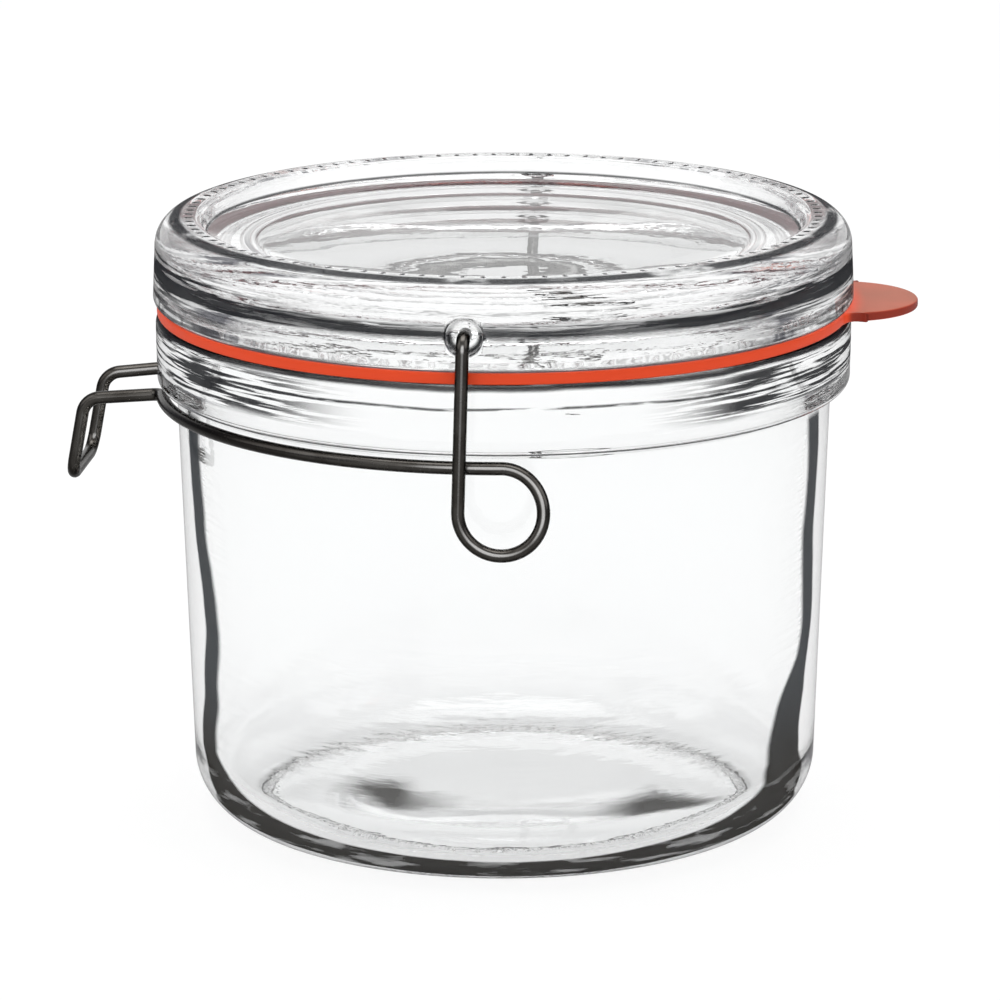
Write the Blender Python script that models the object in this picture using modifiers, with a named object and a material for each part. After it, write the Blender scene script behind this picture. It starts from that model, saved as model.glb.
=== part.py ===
"""A food storage jar: a pressed glass body and lid, a rubber gasket and a one-piece sprung wire clip.

Lengths are in metres, +Z is up, and the origin is on the jar's axis at its base. The clip's lever
is on the -X side, the gasket's pull tab is near +X, and the lid's two dimples are on the Y side.
"""
import bmesh
import bpy
from math import acos, asin, ceil, cos, degrees, hypot, pi, radians, sin, sqrt, tan
from mathutils import Matrix, Vector

# Jar body
BODY_RADIUS = 0.0489
BODY_FLARE = 0.0007
BODY_HEIGHT = 0.0686
WALL = 0.0028
HEEL_RADIUS = 0.0097
INNER_HEEL_RADIUS = 0.0090
FLOOR_THICKNESS = 0.0024
FLOOR_CROWN = 0.0012
FLOOR_CROWN_RADIUS = 0.0285
PUSH_UP = 0.0015
FOOT_RING_WIDTH = 0.0025
NECK_FILLET = 0.0010
COLLAR_HEIGHT = 0.0110
COLLAR_OVERHANG = 0.0033
COLLAR_FLARE = 0.0009
COLLAR_CORNER = 0.0015
RIM_CORNER = 0.0012
MOUTH_CORNER = 0.0008
MOUTH_LIP = 0.0003

# Gasket
REST_GAP = 0.00025
GASKET_THICKNESS = 0.0018
GASKET_CORNER = 0.0004
GASKET_BORE_GAP = 0.0010
TAB_RADIUS = 0.0120
TAB_REACH = 0.0106
TAB_THICKNESS = 0.0014
TAB_FILLET = 0.0025
TAB_STEP = 0.0001
TAB_ROOT = 0.0030
TAB_ANGLE = radians(6.0)

# Lid
LID_OVERHANG = 0.0002
LID_HEIGHT = 0.0131
SHOULDER_WIDTH = 0.0036
SHOULDER_DROP = 0.0040
WAIST_INSET = 0.0008
WAIST_HEIGHT = 0.0034
FLANGE_HEIGHT = 0.0009
FLANGE_CORNER = 0.0007
RIM_WIDTH = 0.0067
RIM_CROWN = 0.0002
RECESS_DEPTH = 0.0027
RECESS_SLOPE = 0.0013
PANEL_THICKNESS = 0.0058
DOME_RISE = 0.0005
DOME_FILLET = 0.0030
PLUG_CLEARANCE = 0.0006
PLUG_DEPTH = 0.0043
PLUG_TAPER = 0.0005
PLUG_WALL = 0.0038
PLUG_CORNER = 0.0008
DIMPLE_HEIGHT = 0.0051
DIMPLE_RADIUS = 0.0029
DIMPLE_DEPTH = 0.0020

# Wire clip
WIRE_RADIUS = 0.0010
HOOK_GAP = 0.0004
SWING_GAP = 0.0002
LEG_GAP = 0.0005
CROSS_GAP = 0.0002
TIP_GAP = 0.0003
TIP_BEND = 0.0020
LOOP_RADIUS = 0.0063
LOOP_OFFSET = 0.0055
LEVER_HALF_WIDTH = 0.00985
LEVER_TAPER = 0.00095
LEVER_REACH = 0.0114
LEVER_SAG = 0.0012
LEVER_DROP = 0.0124
LEVER_LEAN = 0.0023
ROOT_BEND = 0.0020
LEVER_BEND = 0.0031
FOOT_BEND = 0.0030

# Shares that place points along curved stretches
FLOOR_SHARES = (0.0, 0.35, 0.5, 0.62, 0.7, 0.768, 0.9)
PUSH_UP_SHARES = (1.0, 0.95, 0.85, 0.7, 0.45, 0.0)
PUSH_UP_POWER = 4
FLOOR_CROWN_POWER = 4
COLLAR_EASE_SHARES = (0.35, 0.65)
WAIST_EASE_SHARES = (0.3, 0.5, 0.7, 1.0)
FLANGE_EASE_SHARES = (0.35, 0.65)
RECESS_BULGE_SHARE = 0.25
LOOP_FLAT_SHARE = 0.5

# How finely round shapes are cut
TURN_STEPS = 64
HEEL_STEPS = 7
INNER_HEEL_STEPS = 5
SHOULDER_STEPS = 6
FILLET_STEPS = 4
EDGE_STEPS = 3
SMALL_EDGE_STEPS = 2
LOOP_STEPS = 18
HOOK_STEPS = 14
BEND_STEPS = 4
TAB_STEPS = 18
WIRE_BEVEL_RESOLUTION = 2
DIMPLE_SEGMENTS = 20
MERGE_DISTANCE = 0.00001

# Sizes that follow from the ones above
NECK_RADIUS = BODY_RADIUS + BODY_FLARE
COLLAR_RADIUS = NECK_RADIUS + COLLAR_OVERHANG
COLLAR_TOP_RADIUS = COLLAR_RADIUS + COLLAR_FLARE
MOUTH_RADIUS = NECK_RADIUS - WALL - MOUTH_LIP
JAR_HEIGHT = BODY_HEIGHT + COLLAR_HEIGHT

GASKET_BOTTOM_Z = JAR_HEIGHT + REST_GAP
GASKET_TOP_Z = GASKET_BOTTOM_Z + GASKET_THICKNESS
GASKET_RADIUS = COLLAR_TOP_RADIUS

LID_BOTTOM_Z = GASKET_TOP_Z + REST_GAP
LID_TOP_Z = LID_BOTTOM_Z + LID_HEIGHT
LID_RADIUS = COLLAR_TOP_RADIUS + LID_OVERHANG
WAIST_RADIUS = LID_RADIUS - WAIST_INSET
WAIST_Z = LID_BOTTOM_Z + WAIST_HEIGHT
PLUG_RADIUS = MOUTH_RADIUS - PLUG_CLEARANCE
GASKET_BORE_RADIUS = PLUG_RADIUS + GASKET_BORE_GAP

PIVOT_Z = LID_BOTTOM_Z + DIMPLE_HEIGHT
DIMPLE_BALL_RADIUS = (DIMPLE_RADIUS ** 2 + DIMPLE_DEPTH ** 2) / (2 * DIMPLE_DEPTH)
DIMPLE_BALL_Y = WAIST_RADIUS - DIMPLE_DEPTH + DIMPLE_BALL_RADIUS
TIP_Y = DIMPLE_BALL_Y - sqrt(DIMPLE_BALL_RADIUS ** 2 - WIRE_RADIUS ** 2) + TIP_GAP

# The hook lies under the collar, as far out as it must be to swing clear of the collar's lower corner
HOOK_Z = BODY_HEIGHT - HOOK_GAP - WIRE_RADIUS
CORNER_DISTANCE = hypot(COLLAR_RADIUS - COLLAR_CORNER, PIVOT_Z - BODY_HEIGHT - COLLAR_CORNER)
HOOK_SWING_RADIUS = CORNER_DISTANCE + COLLAR_CORNER + SWING_GAP + WIRE_RADIUS
HOOK_RADIUS = sqrt(HOOK_SWING_RADIUS ** 2 - (PIVOT_Z - HOOK_Z) ** 2)
LEG_Y = WIRE_RADIUS + max(LID_RADIUS + LEG_GAP, HOOK_RADIUS + WIRE_RADIUS + CROSS_GAP)
LOOP_Z = HOOK_Z - LOOP_RADIUS


def clear_scene():
    """Remove what the scene holds at the start."""
    for item in list(bpy.data.objects):
        bpy.data.objects.remove(item, do_unlink=True)


def new_collection(name):
    """Add a collection to the scene."""
    made = bpy.data.collections.new(name)
    bpy.context.scene.collection.children.link(made)
    return made


def new_material(name, colour, roughness, metallic=0.0, transmission=0.0):
    """A Principled material with one colour."""
    made = bpy.data.materials.new(name)
    made.use_nodes = True
    made.diffuse_color = (*colour, 1.0)
    shader = made.node_tree.nodes["Principled BSDF"]
    shader.inputs["Base Color"].default_value = (*colour, 1.0)
    shader.inputs["Roughness"].default_value = roughness
    shader.inputs["Metallic"].default_value = metallic
    shader.inputs["Transmission Weight"].default_value = transmission
    return made


def add_object(name, data, collection, material=None):
    """Link an object that holds this mesh or curve."""
    made = bpy.data.objects.new(name, data)
    collection.objects.link(made)
    if material is not None:
        data.materials.append(material)
    return made


def add_pivot(name, place, collection, parent=None):
    """An empty on a joint's axis, which carries what moves on that joint."""
    made = add_object(name, None, collection)
    if parent is not None:
        made.parent = parent
        place = Vector(place) - parent.matrix_world.translation
    made.location = place
    bpy.context.view_layer.update()
    return made


def carry(item, pivot):
    """Hang an object on a pivot without moving it."""
    item.parent = pivot
    item.matrix_parent_inverse = pivot.matrix_world.inverted()


def arc(centre, radii, start, end, steps):
    """Points (radius, height) along an arc or a quarter of an ellipse, angles in degrees."""
    points = []
    for step in range(steps + 1):
        angle = radians(start + (end - start) * step / steps)
        points.append((centre[0] + radii[0] * cos(angle), centre[1] + radii[1] * sin(angle)))
    return points


def ease(start, end, share):
    """A point between two others on a curve that starts and ends upright."""
    radius_share = (1 - cos(pi * share)) / 2
    return (start[0] + (end[0] - start[0]) * radius_share, start[1] + (end[1] - start[1]) * share)


def turned(name, profile, collection, material, closed=False):
    """A solid turned about the Z axis from a profile of (radius, height) points."""
    shape = bmesh.new()
    corners = [shape.verts.new((radius, 0.0, height)) for radius, height in profile]
    for first, second in zip(corners, corners[1:]):
        shape.edges.new((first, second))
    if closed:
        shape.edges.new((corners[-1], corners[0]))
    mesh = bpy.data.meshes.new(name)
    shape.to_mesh(mesh)
    shape.free()
    made = add_object(name, mesh, collection, material)
    turn = made.modifiers.new("Turn", "SCREW")
    turn.axis = "Z"
    turn.steps = TURN_STEPS
    turn.render_steps = TURN_STEPS
    turn.use_merge_vertices = True
    turn.merge_threshold = MERGE_DISTANCE
    turn.use_smooth_shade = True
    return made


def base_z(radius, hollow_r):
    """Height of the pushed-up base at a radius."""
    return PUSH_UP * (1 - min(1.0, radius / hollow_r) ** PUSH_UP_POWER)


def glass_depth(radius):
    """Thickness of the floor at a radius: a shallow lens that is thickest in the middle."""
    return FLOOR_THICKNESS + FLOOR_CROWN * (1 - min(1.0, radius / FLOOR_CROWN_RADIUS) ** FLOOR_CROWN_POWER)


def jar_profile():
    """The jar's section: up its inside from the middle of the floor, over the rim and down its outside."""
    heel_r = BODY_RADIUS - HEEL_RADIUS
    floor_r = BODY_RADIUS - WALL - INNER_HEEL_RADIUS
    inner_heel = (INNER_HEEL_RADIUS, INNER_HEEL_RADIUS)
    rim_outer = COLLAR_TOP_RADIUS - RIM_CORNER
    mouth_outer = MOUTH_RADIUS + MOUTH_CORNER
    mouth_z = JAR_HEIGHT - MOUTH_CORNER
    rim_low = (COLLAR_TOP_RADIUS, JAR_HEIGHT - 2 * RIM_CORNER)
    collar_low = (COLLAR_RADIUS, BODY_HEIGHT + COLLAR_CORNER)
    collar_r = COLLAR_RADIUS - COLLAR_CORNER
    neck = (NECK_RADIUS + NECK_FILLET, BODY_HEIGHT - NECK_FILLET)
    hollow_r = heel_r - FOOT_RING_WIDTH
    floor_radii = [floor_r * share for share in FLOOR_SHARES]
    points = [(radius, base_z(radius, hollow_r) + glass_depth(radius)) for radius in floor_radii]
    points += arc((floor_r, FLOOR_THICKNESS + INNER_HEEL_RADIUS), inner_heel, -90, 0, INNER_HEEL_STEPS)
    points.append((NECK_RADIUS - WALL, BODY_HEIGHT))
    points += arc((mouth_outer, mouth_z), (MOUTH_CORNER, MOUTH_CORNER), 180, 90, SMALL_EDGE_STEPS)
    points += arc((rim_outer, JAR_HEIGHT - RIM_CORNER), (RIM_CORNER, RIM_CORNER), 90, 0, EDGE_STEPS)
    points.append(rim_low)
    points += [ease(rim_low, collar_low, share) for share in COLLAR_EASE_SHARES]
    points += arc((collar_r, collar_low[1]), (COLLAR_CORNER, COLLAR_CORNER), 0, -90, FILLET_STEPS)
    points += arc(neck, (NECK_FILLET, NECK_FILLET), 90, 180, EDGE_STEPS)
    points += arc((heel_r, HEEL_RADIUS), (HEEL_RADIUS, HEEL_RADIUS), 0, -90, HEEL_STEPS)
    points += [(hollow_r * share, base_z(hollow_r * share, hollow_r)) for share in PUSH_UP_SHARES]
    return points


def lid_profile():
    """The lid's section: from the middle of its top, over the rim, down the side and back under the plug."""
    recess_z = LID_TOP_Z - RECESS_DEPTH
    rim_inner = LID_RADIUS - RIM_WIDTH
    shoulder = (LID_RADIUS, LID_TOP_Z - SHOULDER_DROP)
    waist = (WAIST_RADIUS, WAIST_Z)
    flange = (LID_RADIUS, LID_BOTTOM_Z + FLANGE_HEIGHT)
    plug_bottom = LID_BOTTOM_Z - PLUG_DEPTH
    plug_low_r = PLUG_RADIUS - PLUG_TAPER
    hollow_r = PLUG_RADIUS - PLUG_WALL
    ceiling_z = recess_z - PANEL_THICKNESS
    corner_z = plug_bottom + PLUG_CORNER
    plug_round = (PLUG_CORNER, PLUG_CORNER)
    shoulder_round = (SHOULDER_WIDTH, SHOULDER_DROP)
    flange_round = (FLANGE_CORNER, FLANGE_HEIGHT)
    dome_centre = (hollow_r - DOME_FILLET, ceiling_z - DOME_FILLET)
    points = [(0.0, recess_z)]
    points.append((rim_inner - RECESS_SLOPE, recess_z))
    points.append((rim_inner - RECESS_SLOPE * RECESS_BULGE_SHARE, LID_TOP_Z - 2 * RIM_CROWN))
    points.append((rim_inner + RIM_CROWN, LID_TOP_Z - RIM_CROWN))
    points += arc((LID_RADIUS - SHOULDER_WIDTH, shoulder[1]), shoulder_round, 90, 0, SHOULDER_STEPS)
    points += [ease(shoulder, waist, share) for share in WAIST_EASE_SHARES]
    points += [ease(waist, flange, share) for share in FLANGE_EASE_SHARES]
    points += arc((LID_RADIUS - FLANGE_CORNER, flange[1]), flange_round, 0, -90, EDGE_STEPS)
    points.append((PLUG_RADIUS, LID_BOTTOM_Z))
    points += arc((plug_low_r - PLUG_CORNER, corner_z), plug_round, 0, -90, SMALL_EDGE_STEPS)
    points += arc((hollow_r + PLUG_CORNER, corner_z), plug_round, -90, -180, SMALL_EDGE_STEPS)
    points += arc(dome_centre, (DOME_FILLET, DOME_FILLET), 0, 90, FILLET_STEPS)
    points.append((0.0, ceiling_z + DOME_RISE))
    return points


def gasket_profile():
    """The gasket ring's section, with its four corners rounded."""
    inner = GASKET_BORE_RADIUS + GASKET_CORNER
    outer = GASKET_RADIUS - GASKET_CORNER
    low = GASKET_BOTTOM_Z + GASKET_CORNER
    high = GASKET_TOP_Z - GASKET_CORNER
    round_off = (GASKET_CORNER, GASKET_CORNER)
    points = arc((inner, high), round_off, 180, 90, 1)
    points += arc((outer, high), round_off, 90, 0, SMALL_EDGE_STEPS)
    points += arc((outer, low), round_off, 0, -90, SMALL_EDGE_STEPS)
    points += arc((inner, low), round_off, -90, -180, 1)
    return points


def tab_outline():
    """The pull tab seen from above: a round tongue that flows into the ring through two fillets."""
    centre = GASKET_RADIUS + TAB_REACH - TAB_RADIUS
    to_ring = GASKET_RADIUS + TAB_FILLET
    to_tab = TAB_RADIUS + TAB_FILLET
    fillet_x = (to_ring ** 2 - to_tab ** 2 + centre ** 2) / (2 * centre)
    fillet_y = sqrt(to_ring ** 2 - fillet_x ** 2)
    ring_angle = asin(fillet_y / to_ring)
    tab_angle = acos((fillet_x - centre) / to_tab)
    root = GASKET_RADIUS - TAB_ROOT
    half = [(root * cos(ring_angle), root * sin(ring_angle))]
    turn = pi - tab_angle + ring_angle
    for step in range(BEND_STEPS + 1):
        angle = pi + ring_angle + turn * step / BEND_STEPS
        half.append((fillet_x + TAB_FILLET * cos(angle), fillet_y + TAB_FILLET * sin(angle)))
    for step in range(1, TAB_STEPS // 2 + 1):
        angle = tab_angle * (1 - 2 * step / TAB_STEPS)
        half.append((centre + TAB_RADIUS * cos(angle), TAB_RADIUS * sin(angle)))
    mirrored = [(x, -y) for x, y in reversed(half[:-1])]
    return half + mirrored


def flat_plate(name, outline, thickness, place, turn, collection):
    """A flat outline given a thickness, made a welded mesh."""
    curve = bpy.data.curves.new(name + "_outline", "CURVE")
    curve.dimensions = "2D"
    curve.fill_mode = "BOTH"
    curve.extrude = thickness / 2
    spline = curve.splines.new("POLY")
    spline.points.add(len(outline) - 1)
    for point, (x, y) in zip(spline.points, outline):
        point.co = (x, y, 0.0, 1.0)
    spline.use_cyclic_u = True
    sheet = add_object(name + "_outline", curve, collection)
    sheet.location = place
    sheet.rotation_euler = (0.0, 0.0, turn)
    bpy.context.view_layer.update()
    evaluated = sheet.evaluated_get(bpy.context.evaluated_depsgraph_get())
    mesh = bpy.data.meshes.new_from_object(evaluated)
    mesh.name = name
    mesh.transform(sheet.matrix_world)
    bpy.data.objects.remove(sheet, do_unlink=True)
    shape = bmesh.new()
    shape.from_mesh(mesh)
    bmesh.ops.remove_doubles(shape, verts=shape.verts, dist=MERGE_DISTANCE)
    shape.to_mesh(mesh)
    shape.free()
    plate = add_object(name, mesh, collection)
    plate.hide_render = True
    plate.display_type = "WIRE"
    return plate


def cut_or_join(target, tool, operation):
    """Cut a tool out of a piece, or join it on."""
    step = target.modifiers.new(operation.title(), "BOOLEAN")
    step.operation = operation
    step.object = tool
    step.solver = "EXACT"


def dimple_cutter(collection):
    """Two balls that press the wire's seats into the lid's side."""
    shape = bmesh.new()
    for side in (-1, 1):
        place = Matrix.Translation((0.0, side * DIMPLE_BALL_Y, PIVOT_Z))
        turn = Matrix.Rotation(pi / 2, 4, "X")
        bmesh.ops.create_uvsphere(shape, u_segments=DIMPLE_SEGMENTS, v_segments=DIMPLE_SEGMENTS // 2,
                                  radius=DIMPLE_BALL_RADIUS, matrix=place @ turn)
    mesh = bpy.data.meshes.new("dimple_balls")
    shape.to_mesh(mesh)
    shape.free()
    balls = add_object("dimple_balls", mesh, collection)
    balls.hide_render = True
    balls.display_type = "WIRE"
    return balls


def rounded_path(corners):
    """Round each corner of a path that has a bend radius, and return the points along it."""
    path = [corners[0][0]]
    for index in range(1, len(corners) - 1):
        place, bend = corners[index]
        if not bend:
            path.append(place)
            continue
        back = (corners[index - 1][0] - place).normalized()
        ahead = (corners[index + 1][0] - place).normalized()
        opening = back.angle(ahead)
        middle = place + (back + ahead).normalized() * (bend / sin(opening / 2))
        run = bend / tan(opening / 2)
        start = place + back * run - middle
        end = place + ahead * run - middle
        sweep = pi - opening
        steps = max(2, ceil(BEND_STEPS * degrees(sweep) / 90))
        for step in range(steps + 1):
            share = step / steps
            path.append(middle + (sin((1 - share) * sweep) * start + sin(share * sweep) * end) / sin(sweep))
    path.append(corners[-1][0])
    return path


def clip_corners():
    """One half of the wire, from its tip in the dimple to the foot of the lever, as (place, bend radius)."""
    corners = [(Vector((0.0, -TIP_Y, PIVOT_Z)), 0.0), (Vector((0.0, -LEG_Y, PIVOT_Z)), TIP_BEND)]
    hook_start = asin(LOOP_OFFSET / HOOK_RADIUS)
    loop_end_y = HOOK_RADIUS * cos(hook_start)
    for step in range(LOOP_STEPS + 1):
        share = step / LOOP_STEPS
        angle = radians(180 + 270 * share)
        inward_share = max(0.0, share - LOOP_FLAT_SHARE) / (1 - LOOP_FLAT_SHARE)
        reach = LEG_Y + (loop_end_y - LEG_Y) * inward_share * inward_share * (3 - 2 * inward_share)
        place = Vector((LOOP_OFFSET + LOOP_RADIUS * cos(angle), -reach, LOOP_Z + LOOP_RADIUS * sin(angle)))
        corners.append((place, 0.0))
    hook_end = asin(LEVER_HALF_WIDTH / HOOK_RADIUS) - pi / 2
    for step in range(1, HOOK_STEPS + 1):
        angle = hook_start + (hook_end - hook_start) * step / HOOK_STEPS
        place = Vector((HOOK_RADIUS * sin(angle), -HOOK_RADIUS * cos(angle), HOOK_Z))
        corners.append((place, ROOT_BEND if step == HOOK_STEPS else 0.0))
    half_width = LEVER_HALF_WIDTH - LEVER_TAPER
    elbow_x = HOOK_RADIUS + LEVER_REACH
    elbow_z = HOOK_Z - LEVER_SAG
    corners.append((Vector((-elbow_x, -half_width, elbow_z)), LEVER_BEND))
    corners.append((Vector((-elbow_x - LEVER_LEAN, -half_width, elbow_z - LEVER_DROP)), FOOT_BEND))
    return corners


def add_wire_clip(collection, material):
    """The clip: one sprung wire, with its tips in the dimples, hooked under the collar."""
    near = clip_corners()
    far = [(Vector((place.x, -place.y, place.z)), bend) for place, bend in reversed(near)]
    path = rounded_path(near + far)
    curve = bpy.data.curves.new("wire_clip", "CURVE")
    curve.dimensions = "3D"
    curve.bevel_depth = WIRE_RADIUS
    curve.bevel_resolution = WIRE_BEVEL_RESOLUTION
    curve.use_fill_caps = True
    spline = curve.splines.new("POLY")
    spline.points.add(len(path) - 1)
    for point, place in zip(spline.points, path):
        point.co = (place.x, place.y, place.z - PIVOT_Z, 1.0)
    clip = add_object("wire_clip", curve, collection, material)
    clip.location = (0.0, 0.0, PIVOT_Z)
    return clip


def main():
    clear_scene()
    parts = new_collection("food_storage_jar")
    tools = new_collection("cutters")
    glass = new_material("clear_glass", (0.90, 0.93, 0.93), 0.02, transmission=1.0)
    lid_glass = new_material("clear_lid_glass", (0.88, 0.92, 0.92), 0.02, transmission=1.0)
    rubber = new_material("orange_rubber", (0.85, 0.09, 0.03), 0.55)
    steel = new_material("dark_steel_wire", (0.05, 0.05, 0.05), 0.30, metallic=1.0)

    turned("jar_body", jar_profile(), parts, glass)

    lid_pivot = add_pivot("lid_lift_axis", (0.0, 0.0, LID_BOTTOM_Z), parts)
    clip_pivot = add_pivot("clip_swing_axis", (0.0, 0.0, PIVOT_Z), parts, lid_pivot)

    lid = turned("lid", lid_profile(), parts, lid_glass)
    cut_or_join(lid, dimple_cutter(tools), "DIFFERENCE")
    carry(lid, lid_pivot)

    gasket = turned("gasket", gasket_profile(), parts, rubber, closed=True)
    tab_z = GASKET_TOP_Z - TAB_STEP - TAB_THICKNESS / 2
    tab = flat_plate("gasket_tab", tab_outline(), TAB_THICKNESS, (0.0, 0.0, tab_z), TAB_ANGLE, tools)
    cut_or_join(gasket, tab, "UNION")
    carry(gasket, lid_pivot)

    clip = add_wire_clip(parts, steel)
    bpy.context.view_layer.update()
    carry(clip, clip_pivot)


main()
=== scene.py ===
"""The looks of a food storage jar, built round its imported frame.

The jar has a clear pressed glass body and lid, an orange rubber gasket with a pull tab, and a clip of
dark spring wire. Lengths are in metres. Each piece is a button in the sidebar's Storage jar tab.
"""

from functools import partial
from math import acos, asin, ceil, cos, degrees, hypot, pi, radians, sin, sqrt, tan

import bmesh
import bpy
from bpy.props import FloatProperty, FloatVectorProperty, IntProperty, PointerProperty
from mathutils import Matrix, Vector


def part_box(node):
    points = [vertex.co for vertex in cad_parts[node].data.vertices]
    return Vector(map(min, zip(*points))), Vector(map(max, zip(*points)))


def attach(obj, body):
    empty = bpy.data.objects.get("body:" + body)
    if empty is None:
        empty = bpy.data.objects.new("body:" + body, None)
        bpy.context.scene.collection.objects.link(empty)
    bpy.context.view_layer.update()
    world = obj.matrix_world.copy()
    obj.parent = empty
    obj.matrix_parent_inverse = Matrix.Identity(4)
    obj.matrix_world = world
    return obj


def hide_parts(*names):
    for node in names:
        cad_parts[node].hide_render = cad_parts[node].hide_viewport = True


bl_info = {
    "name": "Food storage jar",
    "version": (1, 0, 0),
    "blender": (4, 5, 0),
    "location": "3D View > Sidebar > Storage jar",
    "description": "Builds a wire-clip glass jar round its packed frame, with its studio",
    "category": "Object",
}

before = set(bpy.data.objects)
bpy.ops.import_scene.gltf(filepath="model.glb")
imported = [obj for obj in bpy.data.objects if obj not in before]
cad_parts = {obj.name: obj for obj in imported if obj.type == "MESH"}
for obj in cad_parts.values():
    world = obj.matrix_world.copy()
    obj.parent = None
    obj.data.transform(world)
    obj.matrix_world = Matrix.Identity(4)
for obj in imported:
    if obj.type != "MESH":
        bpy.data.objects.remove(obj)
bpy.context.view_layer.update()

PANEL_TAB = "Storage jar"
INSIDE_MARK = "inside"
AXES = ("X", "Y", "Z")
QUARTER = pi / 2
TINY = 0.00001
# Heights between which a ring of dots is pressed in.
BELOW_ALL, FOOT_LEVEL, ABOVE_ALL = -1.0, 0.0001, 1.0

# How finely the round forms are cut.
FLOOR_RINGS, DOME_RINGS = 24, 6
GROOVE_CUTS, DOT_CUTS = 5, 6
LOOP_STEPS, HOOK_STEPS, BEND_STEPS, WIRE_SIDES = 48, 40, 14, 32
FILLET_STEPS, TAB_STEPS, RING_STEPS, CORNER_STEPS, GASKET_ROWS = 8, 40, 300, 6, 14

# Noise patterns: scale, detail and, where it isn't 1, how much the pattern is squeezed along Z.
WAVES = (60.0, 2.0)
STREAKS = (110.0, 3.0, 7.0)
THREADS = (70.0, 4.0, 30.0)
GRIT = (1500.0, 2.0)
RUBBER_GRAIN = (2600.0, 3.0)
RUBBER_CLOUDS = (90.0, 3.0)
WIRE_CLOUDS = (240.0, 4.0)
WIRE_SPECKS = (1900.0, 3.0)

# How strong the streaks are in each glass piece.
BODY_STREAKS, LID_STREAKS = 0.25, 0.5

# The painted dark line down each side of the body: shade that stands in for what the thick wall bends into
# view.
# It starts and ends where the surface turns away this far, in pairs of (share of the wall's height, turn).
WALL_HEIGHT = 0.070
WALL_LINE_START = ((0.0, 0.30), (0.071, 0.34), (0.10, 0.45), (0.13, 0.51), (0.157, 0.58), (0.20, 0.63),
                   (0.31, 0.63), (0.50, 0.65), (0.86, 0.68), (1.0, 0.68))
WALL_LINE_END = ((0.0, 0.74), (0.036, 0.74), (0.060, 0.86), (0.079, 0.87), (0.10, 0.78), (0.13, 0.74),
                 (0.20, 0.75), (0.31, 0.735), (0.50, 0.74), (0.86, 0.77), (1.0, 0.77))

# The other painted dark lines in the glass, shade that stands in for what thick glass bends into view,
# each a height or a radius: low edge, high edge, softness.
COLLAR_SHADE_STREAKS = (0.0722, 0.0788, 0.0008)
COLLAR_SEAM = (0.0760, 0.0764, 0.00015)
COLLAR_FOOT = (0.0690, 0.0694, 0.00015)
COLLAR_RIM = (0.0789, 0.0798, 0.0003)
BASE_LENS = (0.0205, 0.0305, 0.0030)
LID_WAIST = (0.0868, 0.0887, 0.0006)
WAIST_SHADE_STREAKS = (0.0866, 0.0898, 0.0010)
LID_RIM = (0.0500, 0.0517, 0.0003)
RECESS_FOOT = (0.0458, 0.0463, 0.00015)
DIMPLE_RING = (0.0020, 0.0028, 0.0003)
# Where the base's lens and the dimples have their middles: x and y, and a height.
LENS_X, LENS_Y, DIMPLE_Z = 0.0045, -0.0035, 0.0870

# The step from the gasket's ring down to its tab: start inside the ring's edge, width, and drop of its top.
TAB_STEP_START, TAB_STEP_WIDTH, TAB_STEP_DROP = 0.0002, 0.0008, 0.0001

# The room that glass and metal see: pairs of (height of the direction, brightness).
ROOM = ((0.0, 1.0), (0.16, 1.0), (0.20, 0.55), (0.34, 0.70), (0.40, 1.0), (0.62, 1.0), (0.70, 0.30),
        (0.87, 0.30), (0.92, 0.9), (1.0, 0.9))
ROOM_STRENGTH, GLOW_STRENGTH = 1.05, 1.04
FLOOR_REACH, FLOOR_HEIGHT = 4.0, -0.0002
SENSOR_WIDTH = 36.0
# Each lamp: its name, the setting that holds its power, its width and its place.
LAMPS = (("top_lamp", "top_lamp", 1.1, (0.0, 0.1, 1.15)), ("left_lamp", "side_lamp", 0.9, (-1.1, -0.3, 0.75)),
         ("right_lamp", "side_lamp", 0.9, (1.1, -0.2, 0.75)))
LAMPS_AIM = Vector((0.0, 0.0, 0.05))
# Light that runs along inside the lid's panel needs more bounces than the defaults allow.
BOUNCES = {"max_bounces": 24, "glossy_bounces": 16, "transmission_bounces": 24}


def length(name, description, default):
    """A property for a length in metres."""
    return FloatProperty(name=name, description=description, default=default, unit="LENGTH", precision=5)


def angle(name, description, default):
    """A property for an angle, given in degrees."""
    return FloatProperty(name=name, description=description, default=radians(default), subtype="ANGLE")


def colour(name, description, default):
    """A property for a linear colour."""
    return FloatVectorProperty(name=name, description=description, default=default, size=3,
                               subtype="COLOR", min=0.0, max=1.0)


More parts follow.
